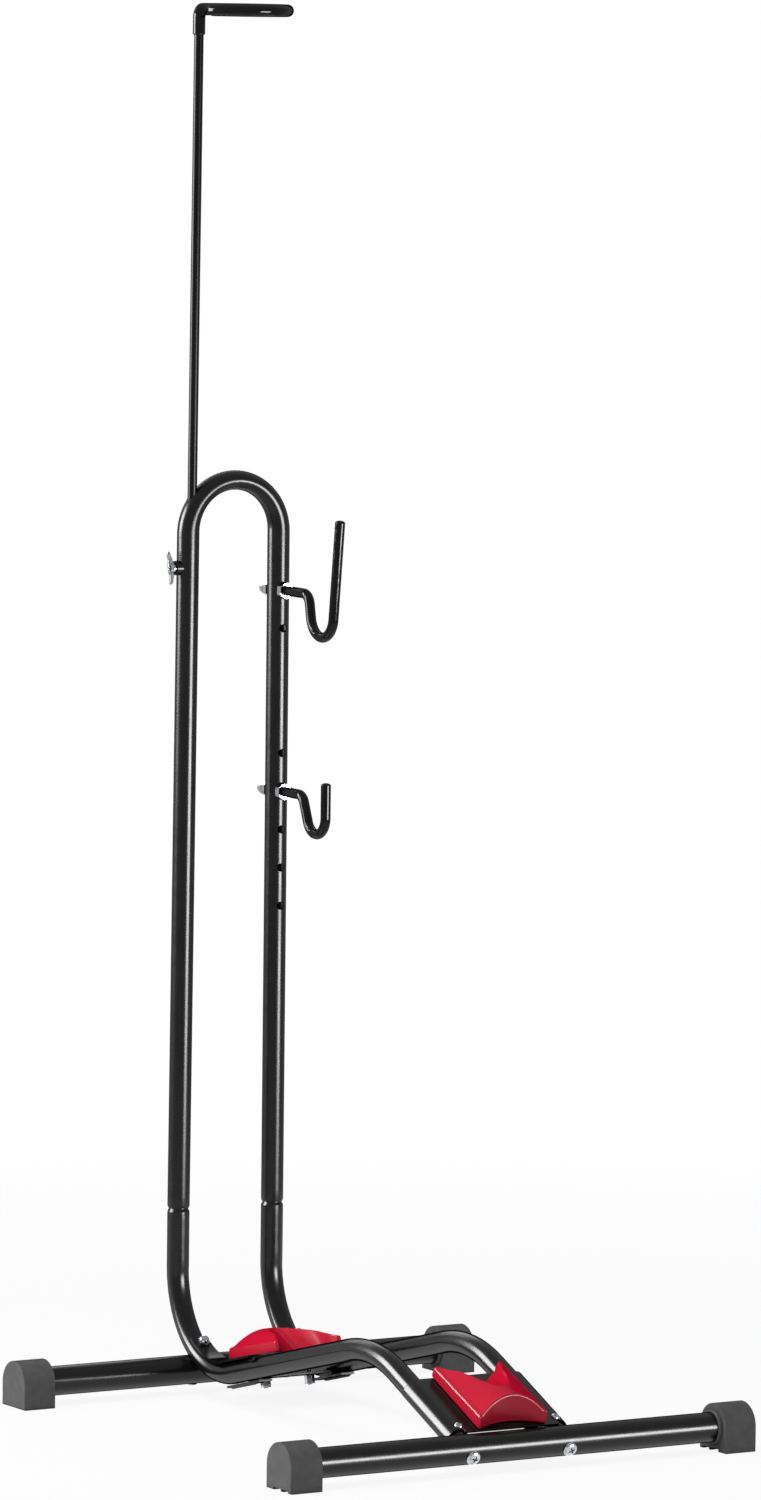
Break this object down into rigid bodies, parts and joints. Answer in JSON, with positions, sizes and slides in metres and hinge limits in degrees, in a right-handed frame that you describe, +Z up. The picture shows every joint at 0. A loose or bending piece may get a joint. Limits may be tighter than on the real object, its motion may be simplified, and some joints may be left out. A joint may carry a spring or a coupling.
{
  "type": "vertical bike stand",
  "caption": "Floor stand that holds a bicycle upright by one wheel, with a tube arch, wheel blocks, hooks and a sliding hoop.",
  "frame": {"origin": "centre of the bounding box's bottom face, on the floor", "axes": "+Z up, +X to the right seen from the front, +Y from the front cross tube towards the arch"},
  "size_m": [0.593, 0.699, 1.5757],
  "materials": {
    "black_powder_coat": "glossy black powder coat",
    "black_rod_paint": "glossy black paint",
    "zinc_plated_steel": "bright zinc plating",
    "crimson_plastic": "glossy moulded plastic",
    "grey_rubber": "matt dark grey",
    "black_vinyl": "dipped soft vinyl, satin"
  },
  "bodies": {
    "frame": {"front_cross_tube": "black_powder_coat", "rear_cross_tube": "black_powder_coat", "arch_tube": "black_powder_coat", "left_rail": "black_powder_coat", "right_rail": "black_powder_coat", "clamp_boss": "black_powder_coat", "front_tray": "black_powder_coat", "rear_tray": "black_powder_coat", "front_left_cap": "grey_rubber", "front_right_cap": "grey_rubber", "rear_left_cap": "grey_rubber", "rear_right_cap": "grey_rubber", "upper_hook_coat": "black_vinyl", "lower_hook_coat": "black_vinyl", "front_wheel_block": "crimson_plastic", "rear_wheel_block": "crimson_plastic", "front_clamp_plate": "zinc_plated_steel", "rear_clamp_plate": "zinc_plated_steel", "upper_hook_bar": "zinc_plated_steel", "upper_hook_nut": "zinc_plated_steel", "upper_hook_cap_nut": "zinc_plated_steel", "lower_hook_bar": "zinc_plated_steel", "lower_hook_nut": "zinc_plated_steel", "lower_hook_cap_nut": "zinc_plated_steel", "front_left_stud": "zinc_plated_steel", "front_left_stud_nut": "zinc_plated_steel", "front_right_stud": "zinc_plated_steel", "front_right_stud_nut": "zinc_plated_steel", "rear_left_stud": "zinc_plated_steel", "rear_left_stud_nut": "zinc_plated_steel", "rear_right_stud": "zinc_plated_steel", "rear_right_stud_nut": "zinc_plated_steel", "front_left_bolt": "zinc_plated_steel", "front_right_bolt": "zinc_plated_steel", "left_rail_plug": "zinc_plated_steel", "right_rail_plug": "zinc_plated_steel", "front_tray_left_screw": "zinc_plated_steel", "front_tray_right_screw": "zinc_plated_steel", "rear_left_bolt": "zinc_plated_steel", "rear_right_bolt": "zinc_plated_steel", "rear_left_cap_nut": "zinc_plated_steel", "rear_right_cap_nut": "zinc_plated_steel"},
    "extension": {"extension_rod": "black_rod_paint", "hoop_coat": "black_vinyl"},
    "clamp_screw": {"wing_screw": "zinc_plated_steel"}
  },
  "joints": [
    {"name": "extension_slide", "type": "slide", "parent": "frame", "child": "extension", "axis": [0.0048, 0, 1], "range_m": [-0.48, 0.04]},
    {"name": "wing_turn", "type": "hinge", "parent": "frame", "child": "clamp_screw", "pos_m": [-0.05819, 0.31077, 0.938], "axis": [-1, 0, 0], "range_deg": [0, 540]}
  ]
}
